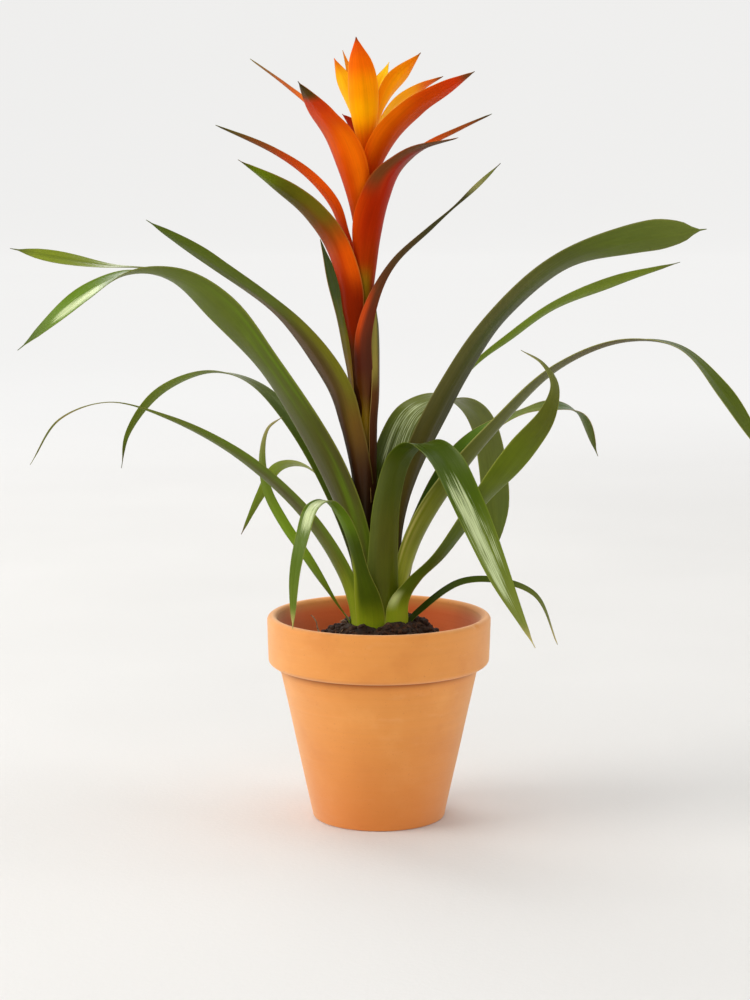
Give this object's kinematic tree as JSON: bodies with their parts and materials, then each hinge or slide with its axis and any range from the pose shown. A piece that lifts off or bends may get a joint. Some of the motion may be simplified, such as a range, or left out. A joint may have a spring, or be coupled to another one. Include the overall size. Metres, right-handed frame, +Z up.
{
  "type": "potted bromeliad",
  "caption": "Flowering bromeliad in a tapered clay pot: strap leaves arch from a low rosette round a leafy stem that ends in a head of pointed orange bracts.",
  "frame": {"origin": "on the ground under the middle of the plant's overall box, within half a percent of the pot's own axis", "axes": "+Z up along the pot's axis, -Y towards the front that the picture shows, +X to the right of that front"},
  "size_m": [0.4664, 0.2624, 0.4841],
  "materials": {
    "terracotta": "matte fired clay, light orange",
    "potting_soil": "rough dark crumbs",
    "stem": "satin, brown-green",
    "leaf": "semi-gloss green, paler under",
    "stem_leaf": "semi-gloss olive green with a brown-red foot",
    "bract_orange": "satin orange-red, darker at the tip",
    "bract_gold": "satin golden orange"
  },
  "bodies": {
    "root": {"pot": "terracotta", "soil": "potting_soil", "flower_stem": "stem", "leaf_left_broad": "leaf", "leaf_left_upper": "leaf", "leaf_left_hooked": "leaf", "leaf_left_long": "leaf", "leaf_left_curled": "leaf", "leaf_back_left_small": "leaf", "leaf_front_left_folded": "leaf", "leaf_front_folded": "leaf", "leaf_front_right": "leaf", "leaf_right_broad": "leaf", "leaf_right_narrow": "leaf", "leaf_right_long": "leaf", "leaf_right_low": "leaf", "leaf_back_right_drooping": "leaf", "leaf_back_right_arching": "leaf", "stem_leaf_left": "stem_leaf", "stem_leaf_right": "stem_leaf", "stem_leaf_back_right": "stem_leaf", "stem_leaf_back_left": "stem_leaf", "bract_lower_left": "bract_orange", "bract_front_right_dark": "bract_orange", "bract_left_narrow": "bract_orange", "bract_front_left_broad": "bract_orange", "bract_right_narrow": "bract_orange", "bract_back_left_narrow": "bract_orange", "bract_right_broad": "bract_orange", "bract_inner_left": "bract_orange", "bract_back_right_narrow": "bract_gold", "bract_top_front": "bract_gold", "bract_upper_right": "bract_gold", "bract_top_left": "bract_gold", "bract_top_back": "bract_gold", "bract_top_right": "bract_gold"}
  },
  "joints": []
}
